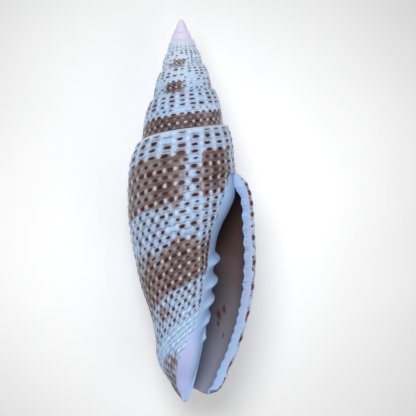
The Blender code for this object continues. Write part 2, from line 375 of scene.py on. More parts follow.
def spire_radius(age, across):
    """Radius of a spire whorl, where across runs from 0 at its suture to 1 at the next."""
    upper = suture_radius(age)
    lower = suture_radius(age - 1)
    bulge = SHOULDER_BULGE * upper * BULGE_SCALE * across**BULGE_RISE * (1 - across) ** BULGE_FALL
    return upper + (lower - upper) * across + bulge


def columella_radius(age, depth):
    """Radius of the columella with its folds, which wind round it in step with the shell's growth."""
    scaled = depth / depth_scale(age)
    ridges = sum(high * np.exp(-FOLD_SHARPNESS * ((scaled - at) / wide) ** 2) for at, high, wide in FOLDS)
    return radius_scale(np.maximum(age, 0)) * (columella(scaled) + ridges * ramp(age, *FOLDS_GROW))


def upper_radius(age, depth):
    """Radius of the last whorl's upper part, like the spire's near its suture and at its old end."""
    below = depth / suture_depth(age)
    radius = radius_scale(age) * body_profile(SUTURE_DEPTH * below)
    across = np.clip((below - 1) / (NEXT_SUTURE - 1), 0, 1)
    old = ramp(age, *LIKE_SPIRE_AGES)
    like_spire = spire_radius(1.0, across) * suture_radius(age) / suture_radius(1.0)
    share = np.maximum(old, 1 - ramp(across, *LIKE_SPIRE_TOP))
    fall = np.clip(1 + LIKE_SPIRE_FALL - LIKE_SPIRE_FALL * below, 0, None)
    share = np.where(below < NEXT_SUTURE, share, old * fall**2)
    return radius + (like_spire - radius) * share


def body_radius(age, depth):
    """Radius of the last whorl, for an age of 0 to 1. Its two sides' outlines are half a turn apart."""
    upper = upper_radius(age, depth)
    side = (age - LIP_SIDE_AGE) / 0.5
    lower = lip_side(depth) ** (1 - side) * left_side(depth) ** side
    radius = upper + (lower - upper) * ramp(depth, *LOWER_DEPTHS)
    radius = radius * (1 - BACK_FLAT * near(age, BACK_AGE, BACK_REACH))
    top = band(depth, (SUTURE_DEPTH, SUTURE_DEPTH + LIP_SHOULDER_GROWS), LIP_SHOULDER_FADES)
    radius = radius + LIP_SHOULDER * top * near(age, 0, LIP_SHOULDER_REACH)
    front = ramp(age, *FRONT_AGES) * ramp(depth, SUTURE_DEPTH, SUTURE_DEPTH + FRONT_GROWS)
    return radius + (columella_radius(age - 1, depth) - radius) * front


def end_depth(age):
    """Depth of the shell's lower edge, which has its notch behind the columella."""
    rise = LIP_RISE * (1 - ramp(age, *LIP_RISE_FADES))
    notch = NOTCH_RISE * band(age, NOTCH_GROWS, NOTCH_FADES)
    return LENGTH - rise - notch


def tube_outer(age, depth):
    """Radius of the cavity's outer side, a wall's thickness in from the outside or the older hollow."""
    if age < 1:
        skin = body_radius(np.full_like(depth, max(age, 0)), np.minimum(depth, SKIN_BOTTOM))
    else:
        skin = radius_scale(age) * body_profile(depth * SUTURE_DEPTH / suture_depth(age))
        skin = np.minimum(skin, columella_radius(age - 1, depth))
    wall = WALL * radius_scale(age) ** 0.5 + (LIP_WALL - WALL) * near(age, *LIP_WALL_AT)
    wall -= LIP_FLARE * near(age, *LIP_FLARE_AT)
    teeth = TOOTH_HEIGHT * near(age, *TEETH_AT) * ramp(depth, *TEETH_GROW)
    scallops = SCALLOP_HEIGHT * near(age, *SCALLOPS_AT) * (1 - ramp(depth, *SCALLOPS_FADE))
    return skin - wall - teeth * wave(depth, TOOTH_PITCH) - scallops * wave(depth, SCALLOP_PITCH)


def place(age, radius, depth):
    x = radius * np.cos(turned(age)) - bend(depth)
    y = radius * np.sin(turned(age))
    return np.stack([x, y, -depth], axis=-1)


def cords_at(age, depth):
    """Number of cords down from the suture. The lower cords run down faster than the shell grows."""
    front = depth / suture_depth(age) * suture_depth(CORD_AGE)
    sink = CORD_SINK + CORD_SINK_BELOW * ramp(front, *CORD_SINK_DEPTHS)
    growth = depth_scale(CORD_AGE) / depth_scale(np.minimum(age, CORD_SINK_AGE))
    return cord_number(front * growth**sink)


def flame(turns, flames):
    """How dark the flames are at a place along the whorls: even in the middle, and faded at the ends."""
    return sum(dark * np.exp(-np.abs((turns - at) / half) ** 3) for at, half, dark in flames)


DASH_TURNS = np.linspace(-0.3, 8, 8301)
DASH_RATE = WIDE_DASHES + (CLOSE_DASHES - WIDE_DASHES) * np.minimum(flame(DASH_TURNS, SHOULDER_FLAMES), 1)
DASH_COUNT = np.cumsum(DASH_RATE) * (DASH_TURNS[1] - DASH_TURNS[0])


def dashes_at(turns):
    """Number of dashes along a strong cord. One of them has its middle at STRONG_DASH_AT."""
    count = np.interp(turns, DASH_TURNS, DASH_COUNT)
    return count - np.interp(STRONG_DASH_AT, DASH_TURNS, DASH_COUNT) + 0.5


def cloud_at(turns, cords):
    """How brown the ground is between the dashes, from 0 to about 1."""
    slant = FLAME_SLANT * (cords - FLAME_SLANT_CORD)
    first = FLAME_FIRST + FLAME_FIRST_DROP * ramp(turns, *FLAME_FIRST_OLD)
    last = FLAME_LAST - FLAME_LAST_RISE * ramp(turns, *FLAME_LAST_OLD)
    before, after = FLAME_FIRST_SOFT
    upper = band(cords, (first + before, first + after), (last - FLAME_LAST_SOFT, last))
    upper = upper * flame(turns + slant, SHOULDER_FLAMES)
    belly = band(cords, *BELLY_CORDS) * flame(turns, BELLY_FLAMES)
    low = LOW_BROWN * band(cords, *LOW_CORDS) * (1 - ramp(turns, *LOW_TURNS))
    end = END_BROWN * ramp(cords, *END_CORDS) * (1 - ramp(turns, *END_TURNS))
    return upper + belly + low + end


def outside_values(age, depth):
    """Values for the material at points of the outside: four pairs, in the order that Skin.build names."""
    age = np.broadcast_to(np.asarray(age, float), np.shape(depth))
    turns = turns_at(age)
    cords = cords_at(age, depth)
    soft = GLAZE_SOFT + GLAZE_SOFT_BELOW * ramp(depth, *GLAZE_SOFT_DEPTHS)
    edge = glaze_edge(depth)
    glaze = ramp(age, edge - soft, edge + soft) * (age <= 1) * (depth > GLAZE_TOP)
    glaze = np.maximum(glaze, 1 - ramp(age, *LIP_GLAZE))
    margin = band(age, *MARGIN_AGES)
    end = end_depth(age)
    # a dark rim just above the lower end's edge: painted shadow under it
    rim_shadow = ramp(depth, end - RIM_SHADOW_HEIGHTS[0], end - RIM_SHADOW_HEIGHTS[1]) * (1 - ramp(age, *RIM_SHADOW_FADES))
    inside = np.zeros_like(depth)
    values = [turns, cords, dashes_at(turns), cloud_at(turns, cords), glaze, inside, margin, rim_shadow]
    return np.stack(values, axis=-1)


def inside_values(age, depth, on_columella):
    """Values for the material at points of the hollow: glazed, and darker with the way in."""
    if on_columella:
        dark = np.full_like(depth, float(ramp(age, *COLUMELLA_DARKENS)))
    else:
        toothed = ramp(depth, *TEETH_GROW)
        ridge = (0.5 + 0.5 * wave(depth, TOOTH_PITCH)) * toothed
        start = DARK_START + DARK_AFTER_TEETH * toothed + DARK_AFTER_TEETH * ridge
        dark = ramp(age, start, start + DARK_REACH)
    turns = np.full_like(depth, turns_at(age))
    cords = cords_at(np.full_like(depth, max(age, 0)), depth)
    none = np.zeros_like(depth)
    return np.stack([turns, cords, dashes_at(turns), none, np.ones_like(depth), dark, none, none], axis=-1)


def relief(age, depth, cords, glaze):
    """How far the cords, their beads and the beaded edge below the suture stand out."""
    turns = turns_at(age)
    ridge = 0.5 - 0.5 * wave(cords)
    odd = np.floor(cords) % 2 == 1
    wide = cords < WIDE_CORDS
    close = np.where(odd, dashes_at(turns), CLOSE_DASHES * turns + CLOSE_DASH_START)
    along = np.where(wide, WIDE_DASHES * turns + WIDE_DASH_START, close)
    bead = (0.5 + 0.5 * wave(along)) ** 2 * np.where(odd | wide, 1.0, WEAK_BEAD)
    below = (depth / suture_depth(age) - 1) / (NEXT_SUTURE - 1)
    scallop = 0.5 + 0.5 * wave(2 * WIDE_DASHES * turns)
    edge = SUTURE_BEAD * scallop * near(below, *SUTURE_BEAD_AT)
    height = CORD_HEIGHT * ridge + BEAD_HEIGHT * ridge * bead + edge
    size = np.minimum(radius_scale(age) * RELIEF_SHRINKS, 1)
    cover = (1 - glaze) * (1 - ramp(age, *RELIEF_FADES))
    columella_ridge = COLUMELLA_RIDGE * near(age, *COLUMELLA_RIDGE_AT) * ramp(depth, *COLUMELLA_RIDGE_GROWS)
    return (height * size - RELIEF_MIDDLE) * cover + columella_ridge


def add_object(name, data):
    obj = bpy.data.objects.new(name, data)
    bpy.context.scene.collection.objects.link(obj)
    return obj


class Skin:
    """Points and faces of a surface that grows one row of points at a time. Each row is a list of
    (point, mark) pairs, where a mark is the set of values that the face's corner carries."""

    def __init__(self):
        self.points = []
        self.marks = []
        self.faces = []
        self.corners = []

    def add(self, points, marks):
        first = len(self.points)
        first_mark = len(self.marks)
        self.points.extend(tuple(p) for p in points)
        self.marks.extend(tuple(m) for m in marks)
        return [(first + i, first_mark + i) for i in range(len(points))]

    def mark(self, point, values):
        """The same point with other values."""
        self.marks.append(tuple(values))
        return (point[0], len(self.marks) - 1)

    def depths(self, row):
        return [-self.points[p[0]][2] for p in row]

    def face(self, *corners):
        if len({c[0] for c in corners}) == 3:
            self.faces.append([c[0] for c in corners])
            self.corners.extend(c[1] for c in corners)

    def bridge(self, first, second, first_at, second_at):
        """Triangles between two rows of points, which may differ in number, in step with their places."""
        first_at = [*first_at, math.inf]
        second_at = [*second_at, math.inf]
        a = b = 0
        while a < len(first) - 1 or b < len(second) - 1:
            if first_at[a + 1] <= second_at[b + 1]:
                self.face(first[a], first[a + 1], second[b])
                a += 1
            else:
                self.face(first[a], second[b + 1], second[b])
                b += 1

    def bridge_all(self, rows, rows_at):
        for i in range(len(rows) - 1):
            self.bridge(rows[i], rows[i + 1], rows_at[i], rows_at[i + 1])

    def fan(self, ring, centre):
        (middle,) = self.add([centre], [self.marks[ring[0][1]]])
        for p, q in zip(ring, ring[1:] + ring[:1]):
            self.face(p, q, middle)

    def dome(self, ring, shares):
        """Closes a ring about the axis with a rounded cap, whose top is the origin."""
        edge = np.array([self.points[p[0]] for p in ring])
        marks = [self.marks[p[1]] for p in ring]
        for share in shares:
            inner = self.add(edge * (share, share, share**2), marks)
            steps = range(len(ring) + 1)
            self.bridge(ring + ring[:1], inner + inner[:1], steps, steps)
            ring = inner
        self.fan(ring, (0, 0, 0))

    def build(self, name):
        mesh = bpy.data.meshes.new(name)
        mesh.from_pydata(self.points, [], self.faces)
        marks = np.array(self.marks)[self.corners]
        for i, layer in enumerate(("cords", "flames", "cover", "edges")):
            uv = mesh.uv_layers.new(name=layer)
            uv.data.foreach_set("uv", marks[:, 2 * i : 2 * i + 2].ravel())
        work = bmesh.new()
        work.from_mesh(mesh)
        bmesh.ops.remove_doubles(work, verts=work.verts, dist=1e-5)
        bmesh.ops.recalc_face_normals(work, faces=work.faces)
        bmesh.ops.scale(work, vec=(MM, MM, MM), verts=work.verts)
        work.to_mesh(mesh)
        work.free()
        return add_object(name, mesh)


def whorl_steps():
    """For each whorl, the shares of the way from its suture to the next at which its points lie."""
    heights = [LAST_WHORL]
    for whorl in range(1, AGE_AT_TIP):
        heights.append(float(suture_depth(whorl - 0.1) - suture_depth(whorl + 0.9)))
    return [np.linspace(0, 1, max(FEWEST_STEPS, round(height / ROW_SPACING)) + 1) for height in heights]


def lower_steps(age):
    """Shares of the way from the next suture to the lower end, closer together over the columella."""
    return np.linspace(0, 1, COLUMELLA_STEPS if age > COLUMELLA_AGE else LOWER_STEPS)


def spire_row(skin, age, across):
    """A row of points down a spire whorl, whose last one join_spire fills in."""
    depth = suture_depth(age) + (suture_depth(age - 1) - suture_depth(age)) * across
    values = outside_values(age, depth)
    radius = spire_radius(age, across) + relief(np.full_like(depth, age), depth, values[:, 1], values[:, 4])
    radius[0] = suture_radius(age)
    row = skin.add(place(age, radius, depth)[:-1], values[:-1])
    return row + [(None, values[-1])]


def body_row(skin, age, across):
    """A row of points down the last whorl to the lower end."""
    depth = suture_depth(age) * (1 + (NEXT_SUTURE - 1) * across)
    depth = np.concatenate([depth[:-1], depth[-1] + (end_depth(age) - depth[-1]) * lower_steps(age)])
    ages = np.full_like(depth, age)
    values = outside_values(age, depth)
    radius = body_radius(ages, depth) + relief(ages, depth, values[:, 1], values[:, 4])
    radius[0] = suture_radius(age)
    radius[1:] -= LIP_ROUNDING * (1 - math.sqrt(max(0, 1 - max(0, 1 - age / LIP_ROUND_AGE) ** 2)))
    return skin.add(place(age, radius, depth), values)


def join_spire(skin, older, starts, last_across):
    """Ends each spire row at the first point of the row a turn younger, and the last whorl's oldest row at
    the lip. The oldest row of all is one point."""
    for row, start in zip(older, starts[COLUMNS:]):
        row[-1] = skin.mark(start, row[-1][1])
    older[0] = [skin.mark(starts[COLUMNS], skin.marks[p[1]]) for p in older[0]]
    last_across[-1] = skin.mark(starts[-1], skin.marks[last_across[-1][1]])


def outside():
    """The whole outside as a closed solid, with a flat step at the mouth from the lip to the columella."""
    skin = Skin()
    steps = whorl_steps()
    rows = len(steps[0]) - 1
    spire = [i / COLUMNS for i in range(AGE_AT_TIP * COLUMNS, COLUMNS, -1)]
    regular = [i / COLUMNS for i in range(COLUMNS, -1, -1)]
    body = sorted(set(regular + [LIP_ROUND_AGE * share for share in LIP_COLUMNS]), reverse=True)
    spire_at = [steps[min(int(age), AGE_AT_TIP - 1)] for age in spire]
    body_at = [np.concatenate([steps[0][:-1], 1 + 2 * lower_steps(age)]) for age in body]
    older = [spire_row(skin, age, across) for age, across in zip(spire, spire_at)]
    younger = [body_row(skin, age, steps[0]) for age in body]
    starts = [row[0] for row in older] + [younger[body.index(age)][0] for age in regular]
    last_across = younger[0][: rows + 1]
    join_spire(skin, older, starts, last_across)
    younger[0][rows] = last_across[-1]
    skin.bridge_all(older + [last_across], spire_at + [steps[0]])
    skin.bridge_all(younger, body_at)
    for age, following in zip(regular, regular[1:]):
        joint = [row[0] for row in younger[body.index(age) : body.index(following) + 1]]
        skin.bridge(joint, joint[:1] + joint[-1:], range(len(joint)), [0, len(joint)])
    lip = younger[-1]
    inner = younger[0][rows:]
    skin.bridge(lip, inner, skin.depths(lip), skin.depths(inner))
    skin.fan([row[-1] for row in younger], (-bend(LENGTH), 0, -LENGTH - 0.1))
    skin.dome(starts[1 : COLUMNS + 1], TIP_RINGS)
    return skin.build("shell_surface")


def cavity_ages():
    near_ages = [i / CAVITY_COLUMNS for i in range(2, round(DEEP_AGE * CAVITY_COLUMNS) + 1)]
    deep_count = int((CAVITY_TURNS - DEEP_AGE) * DEEP_COLUMNS)
    return MOUTH_AGES + near_ages + [DEEP_AGE + i / DEEP_COLUMNS for i in range(1, deep_count + 1)]


def inner_depths(age, scale, top, bottom):
    """Depths of a cavity row's points along the columella, in step with those of the outside."""
    depths = SUTURE_DEPTH + (LENGTH - SUTURE_DEPTH) * lower_steps(1.0)
    depths = (depths if age < DEEP_AGE else depths[::3]) * scale
    depths = depths[(depths > top + TOP_GAP * scale) & (depths < bottom - BOTTOM_GAP * scale)]
    upper = [top, top + TOP_GAP / 2 * scale]
    lower = [bottom - BOTTOM_GAP / 2 * scale, bottom]
    return np.concatenate([upper, depths, lower])


def outer_depths(age, top, bottom):
    """Depths of a cavity row's points along the outer wall, closer together at its ends past the mouth."""
    if age < MOUTH_AGE:
        return np.linspace(top, bottom, MOUTH_STEPS)
    return top + (bottom - top) * (1 - np.cos(np.linspace(0, math.pi, CAVITY_STEPS))) / 2


def cavity_loop(skin, age):
    """Two rows of points, down the columella and down the outer wall, with their places."""
    scale = float(depth_scale(max(age, 0)))
    top = CAVITY_TOP * scale
    closed_bottom = CAVITY_BOTTOM * scale - CANAL_CLOSING_RISE
    bottom = BELOW_SHELL + (closed_bottom - BELOW_SHELL) * float(ramp(age, *CANAL_CLOSES))
    inner = inner_depths(age, scale, top, bottom)
    outer = outer_depths(age, top, bottom)
    lift = OVERLAP - (OVERLAP + MOUTH_CLEARANCE) * float(1 - ramp(age, *MOUTH_CLEARS))
    low = columella_radius(age, outer) - lift
    high = np.maximum(tube_outer(age, outer), low + CAVITY_THINNEST * scale)
    if age < CANAL_AGE:
        high = np.where(outer > CANAL_TOP, np.maximum(high, low + CANAL_WIDTH), high)
    pinch = np.clip((outer - top) / (CAVITY_TOP_ROUNDING * scale), 0, 1) ** 0.5
    if bottom < BELOW_SHELL - 1:
        pinch = pinch * np.clip((bottom - outer) / (CAVITY_END_ROUNDING * scale), 0, 1) ** 0.5
    inner_points = place(age, columella_radius(age, inner) - lift, inner)
    outer_points = place(age, low + (high - low) * pinch, outer)
    inner_side = skin.add(inner_points, inside_values(age, inner / scale, True))
    outer_side = skin.add(outer_points[1:-1], inside_values(age, outer / scale, False)[1:-1])
    outer_side = inner_side[:1] + outer_side + inner_side[-1:]
    return inner_side, inner / scale, outer_side, outer / scale


def cavity():
    """The hollow tube, from just outside the mouth back to its blind end."""
    skin = Skin()
    loops = [cavity_loop(skin, age) for age in cavity_ages()]
    for loop, deeper in zip(loops, loops[1:]):
        skin.bridge(loop[0], deeper[0], loop[1], deeper[1])
        skin.bridge(loop[2], deeper[2], loop[3], deeper[3])
    for inner_side, inner_at, outer_side, outer_at in (loops[0], loops[-1]):
        skin.bridge(inner_side, outer_side, inner_at, outer_at)
    return skin.build("cavity")


def resting_turn():
    """The turn from the shell's own frame to the one in which it lies on its back."""
    down = Vector((math.cos(DOWN_ANGLE), math.sin(DOWN_ANGLE), math.tan(DOWN_DIP))).normalized()
    up = -down
    tip = (Vector((0, 0, 1)) - up * up.z).normalized()
    return Matrix((tip.cross(up), tip, up)).to_4x4()


def tip_in_frame():
    """Where the tip of the solid's spire is: its point furthest towards +Y."""
    points = np.array([v.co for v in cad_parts["shell"].data.vertices])
    return Vector(points[points[:, 1].argmax()])


class Graph:
    """The shader nodes of one material."""

    def __init__(self, name):
        self.material = bpy.data.materials.new(name)
        self.material.use_nodes = True
        self.tree = self.material.node_tree
        self.surface = self.tree.nodes["Principled BSDF"].inputs

    def node(self, kind, **settings):
        made = self.tree.nodes.new(kind)
        for name, value in settings.items():
            setattr(made, name, value)
        return made

    def put(self, socket, value):
        """Links a socket to another one's output, or gives it a value."""
        if isinstance(value, bpy.types.NodeSocket):
            self.tree.links.new(value, socket)
        else:
            socket.default_value = value

    def math(self, operation, *values):
        made = self.node("ShaderNodeMath", operation=operation)
        for socket, value in zip(made.inputs, values):
            self.put(socket, value)
        return made.outputs[0]

    def add(self, a, b):
        return self.math("ADD", a, b)

    def minus(self, a, b):
        return self.math("SUBTRACT", a, b)

    def times(self, a, b):
        return self.math("MULTIPLY", a, b)

    def most(self, a, b):
        return self.math("MAXIMUM", a, b)

    def size(self, a):
        return self.math("ABSOLUTE", a)

    def rest(self, a):
        """What a leaves of 1."""
        return self.minus(1.0, a)

    def rise(self, start, more, share):
        """The start, with more on top of it in proportion to share."""
        return self.add(start, self.times(share, more))

    def vary(self, chance, much):
        """A random number from 0 to 1, spread about 0 over as much as is asked."""
        return self.times(self.minus(chance, 0.5), much)

    def from_middle(self, a):
        """How far a is past the middle between two whole numbers."""
        return self.minus(self.math("FRACT", a), 0.5)

    def step(self, value, start, end):
        """0 before start, 1 after end, and smooth between, as ramp does."""
        made = self.node("ShaderNodeMapRange", interpolation_type="SMOOTHSTEP")
        self.put(made.inputs[0], value)
        self.put(made.inputs[1], start)
        self.put(made.inputs[2], end)
        return made.outputs[0]

    def mix(self, share, first, second):
        """The first colour where share is 0 and the second where it is 1."""
        made = self.node("ShaderNodeMix", data_type="RGBA")
        self.put(made.inputs[0], share)
        self.put(made.inputs[6], first)
        self.put(made.inputs[7], second)
        return made.outputs[2]

    def choose(self, share, first, second):
        """The first number where share is 0 and the second where it is 1."""
        made = self.node("ShaderNodeMix", data_type="FLOAT")
        self.put(made.inputs[0], share)
        self.put(made.inputs[2], first)
        self.put(made.inputs[3], second)
        return made.outputs[0]

    def parts(self, vector):
        made = self.node("ShaderNodeSeparateXYZ")
        self.put(made.inputs[0], vector)
        return made.outputs

    def uv(self, layer):
        x, y, _ = self.parts(self.node("ShaderNodeUVMap", uv_map=layer).outputs[0])
        return x, y

    def join(self, x, y, z=0.0):
        made = self.node("ShaderNodeCombineXYZ")
        for socket, value in zip(made.inputs, (x, y, z)):
            self.put(socket, value)
        return made.outputs[0]

    def noise(self, vector, scale, detail=3.0):
        made = self.node("ShaderNodeTexNoise")
        self.put(made.inputs["Vector"], vector)
        self.put(made.inputs["Scale"], scale)
        self.put(made.inputs["Detail"], detail)
        return made.outputs[0]

    def dice(self, x, y, z=0.0):
        """Three random numbers from 0 to 1 for each whole (x, y, z)."""
        made = self.node("ShaderNodeTexWhiteNoise", noise_dimensions="3D")
        self.put(made.inputs[0], self.join(x, y, z))
        parts = self.node("ShaderNodeSeparateColor")
        self.put(parts.inputs[0], made.outputs[1])
        return list(parts.outputs)

    def spot(self, x, y, half_x, half_y, soft, power=2.0):
        """1 inside an oval about the origin and 0 outside, squarer with more power."""
        far_x = self.math("POWER", self.size(self.math("DIVIDE", x, half_x)), power)
        far_y = self.math("POWER", self.size(self.math("DIVIDE", y, half_y)), power)
        far = self.math("POWER", self.add(far_x, far_y), 1 / power)
        return self.rest(self.step(far, 1 - soft, 1 + soft))


# colours of the shell
GROUND = (0.45, 0.64, 0.91, 1)
# painted shade, for the grooves between the cords and lower down
GROUND_SHADE = (0.13, 0.20, 0.34, 1)
GROUND_OLD = (0.66, 0.80, 0.98, 1)
BEAD = (0.70, 0.82, 0.98, 1)
CLOUD = (0.23, 0.165, 0.15, 1)
CLOUD_DARK = (0.075, 0.026, 0.018, 1)
DASH = (0.052, 0.007, 0.004, 1)
DASH_PALE = (0.15, 0.05, 0.028, 1)
GLAZE = (0.38, 0.56, 0.86, 1)
# painted shade on the callus towards the mouth
GLAZE_SHADED = (0.19, 0.33, 0.55, 1)
GLAZE_LOW = (0.48, 0.54, 0.87, 1)
LIP = (0.41, 0.50, 0.74, 1)
TIP = (0.78, 0.78, 0.98, 1)
TIP_PINK = (0.78, 0.62, 0.92, 1)
INSIDE_HIGH = (0.18, 0.11, 0.095, 1)
INSIDE_LOW = (0.37, 0.38, 0.49, 1)
STAIN = (0.16, 0.04, 0.015, 1)

# noise, as (scale, detail), on a plane where a turn is as long as this many cords are wide
TURN_LENGTH = 30.0
BROAD_NOISE = (0.22, 2.0)
MID_NOISE = (0.8, 3.0)
FINE_NOISE = (2.5, 3.0)
WOBBLE = 0.22
WOBBLE_ACROSS = 0.7

# turns over which a whorl gets old, and millimetres below the tip over which the ground gets bluer
OLD_TURNS = (0.95, 2.2)
GROUND_YOUNG = (4.0, 11.0)

# painted shade in the grooves between the cords, and a faint painted shade in patches on the lower cords
# and above the next suture on old whorls
GROOVE_SHADE_EDGE = (0.25, 0.5)
GROOVE_SHADE_ENDS = (0.22, 0.42)
GROOVE_SHADE_STRENGTH = (0.3, 0.6)
GROOVE_SHADE_OLD = -0.5
FAINT_SHADE = 0.22
FAINT_SHADE_PATCHES = (0.3, 0.7)
FAINT_SHADE_CORDS = (8.5, 11.0)
FAINT_SHADE_CORDS_OLD = (4.5, 7.0)
SHADE = 0.8
SHADE_EDGE = (0.42, 1.25)

# brown clouds, mottled by shares of the broad noise, the mid noise and chance
MOTTLING = (0.5, 0.35, 0.15)
CLOUD_EDGE = (0.2, 0.8)
CLOUD_RAGGED = 3.4
CLOUD_RAGGED_EDGE = (0.0, 0.3)
# the brown clouds are darker under the painted shade of the grooves
CLOUD_GROOVE_SHADE = 0.3
CLOUD_DARKENS = (0.8, 1.55)
CLOUD_SHOWS = (0.25, 0.8)
CLOUD_COVER = 0.93

# white beads between the dashes
BEAD_SIZE = (0.16, 0.27)
BEAD_SOFT = 0.5
BEAD_STRENGTH = (0.25, 0.75)
BEAD_CHANCE = (0.6, 0.4)

# size and place of the dashes
DASH_STRONG = 0.55
DASH_IN_CLOUD = 0.45
DASH_GROWS = 0.1
DASH_OLD = -0.22
DASH_HALF_LENGTH = 0.12
DASH_WIDE_MORE = 0.02
DASH_LENGTH_VARIES = (0.11, 0.09)
DASH_HALF_HEIGHT = 0.15
DASH_HEIGHT_VARIES = 0.12
DASH_SHIFT = 0.18
DASH_DROP = 0.12
DASH_SOFT = 0.3
DASH_POWER = 2.6

# share of the dashes that are missing on weak cords, and the change on strong ones
MISSING = (0.12, -0.08)
MISSING_OLD = (0.45, -0.25)
MISSING_IN_CLOUD = 0.15
PLAIN_CORDS = (28.0, 29.5)

# halo and colour of the dashes
HALO = 0.38
HALO_LENGTH = 1.9
HALO_HEIGHT = 1.7
HALO_SOFT = 0.6
PALE = (0.6, -0.4)
PALE_EDGE = 0.4
PALE_EDGE_AT = (0.1, 0.8)

# how far below the tip its lilac gives way to the pattern, in millimetres
TIP_FADE = (2.4, 4.4)
TIP_UNEVEN = 0.8
TIP_DASHES_UNEVEN = 1.2
TIP_PINK_PATCHES = (0.4, 0.7)

# the white edge below the sutures, by cords, and a worn white place on the whorl before the last
WHITE = 0.75
WHITE_EDGE = (0.25, 0.7)
WORN_TURNS = 1.87
WORN_CORDS = 4.7
WORN_SIZE = (0.07, 0.6)
WORN_SOFT = 0.6
WORN_PATCHES = (0.4, 0.6)

# where the glaze changes colour, and where painted shade darkens the upper callus towards the mouth, where
# it curves in
GLAZE_LOW_CORDS = (20.0, 34.0)
GLAZE_LOW_TURNS = (0.77, 0.82)
GLAZE_SHADED_CORDS = (18.0, 32.0)
GLAZE_SHADED_TURNS = (0.9, 0.955)
GLAZE_SHADED_PATCHES = (0.4, 0.6)
LIP_TURNS = 0.1
LIP_CORDS = (10.0, 22.0)

# brown marks on the lip's margin, and the dark rim at the lower end, which is painted shadow under the edge
SPECK_TURN = 200.0
SPECK_CORD = 2.3
SPECK_EDGE = (0.53, 0.62)
SPECKS_FEWER = 0.12
SPECKS_FEWER_CORDS = (12.0, 40.0)
RIM_SHADOW = 0.8

# the hollow's wall, and brown stains on it, as (turns, cords, half width, half height)
INSIDE_CORDS = (8.0, 25.0)
INSIDE_UNEVEN = 6.0
STAINS = [
    (0.119, 14.1, 0.008, 0.35), (0.137, 15.1, 0.011, 0.4), (0.134, 15.9, 0.006, 0.25),
    (0.101, 16.2, 0.004, 0.3),
]
STAIN_COVER = 0.85
STAIN_SOFT = 0.7
STAIN_WOBBLE = 0.02

# gloss and fine roughness
SPECULAR = 0.25
ROUGHNESS = (0.34, 0.12)
BUMP_STRENGTH = 0.3
BUMP_DISTANCE = 0.05 * MM


class Pattern:
    """Where a point lies in the pattern, as sockets of the material's nodes."""

    def __init__(self, g):
        self.turns, self.cords = g.uv("cords")
        self.strong_dashes, self.cloud = g.uv("flames")
        self.glaze, self.dark = g.uv("cover")
        self.margin, self.rim_shadow = g.uv("edges")
        self.old = g.step(self.turns, *OLD_TURNS)
        self.in_cloud = g.step(self.cloud, *CLOUD_EDGE)
        self.find_noise(g)
        self.find_cord(g)
        self.find_dash(g)
        self.find_tip(g)

    def find_noise(self, g):
        plane = g.join(g.times(self.turns, TURN_LENGTH), self.cords)
        self.broad = g.noise(plane, *BROAD_NOISE)
        self.mid = g.noise(plane, *MID_NOISE)
        self.fine = g.noise(plane, *FINE_NOISE)
        self.wobble = g.vary(self.fine, WOBBLE)

    def find_cord(self, g):
        """The cord, the place across it from -0.5 to 0.5, and whether it is wide or strong."""
        self.cord = g.math("FLOOR", self.cords)
        self.across = g.add(g.from_middle(self.cords), g.times(self.wobble, WOBBLE_ACROSS))
        self.wide = g.math("LESS_THAN", self.cord, WIDE_CORDS - 0.5)
        self.odd = g.math("MODULO", g.size(self.cord), 2.0)
        self.strong = g.most(self.wide, self.odd)

    def find_dash(self, g):
        """The place along the dash, along the gap beside it, and the dash's random numbers."""
        wide_dashes = g.rise(WIDE_DASH_START, WIDE_DASHES, self.turns)
        weak_dashes = g.rise(CLOSE_DASH_START, CLOSE_DASHES, self.turns)
        dashes = g.choose(self.wide, g.choose(self.odd, weak_dashes, self.strong_dashes), wide_dashes)
        column = g.math("FLOOR", dashes)
        self.along = g.add(g.from_middle(dashes), self.wobble)
        self.beside = g.add(g.from_middle(g.add(dashes, 0.5)), self.wobble)
        self.length_chance, self.height_chance, self.shift_chance = g.dice(column, self.cord)
        self.mottle_chance, self.show_chance, self.pale_chance = g.dice(column, self.cord, 3.0)

    def find_tip(self, g):
        """How far below the tip, which points to +Y, in millimetres."""
        position = g.parts(g.node("ShaderNodeTexCoord").outputs["Object"])
        self.below_tip = g.rise(tip_in_frame().y / MM, -1 / MM, position[1])


# painted shade in the grooves between the cords, lighter on old whorls, and faint painted shade lower down
def groove_shade_amount(g, at):
    groove_shade = g.step(g.size(at.across), *GROOVE_SHADE_EDGE)
    by_dash = g.rest(g.step(g.size(at.along), *GROOVE_SHADE_ENDS))
    groove_shade = g.times(groove_shade, g.times(by_dash, g.rise(*GROOVE_SHADE_STRENGTH, at.height_chance)))
    groove_shade = g.times(groove_shade, g.rise(1.0, GROOVE_SHADE_OLD, at.old))
    lower = g.most(g.step(at.cords, *FAINT_SHADE_CORDS), g.times(at.old, g.step(at.cords, *FAINT_SHADE_CORDS_OLD)))
    return g.add(groove_shade, g.times(g.times(lower, g.step(at.mid, *FAINT_SHADE_PATCHES)), FAINT_SHADE))


def mottling(g, at):
    broad, mid, single = MOTTLING
    return g.add(g.times(at.broad, broad), g.add(g.times(at.mid, mid), g.times(at.mottle_chance, single)))


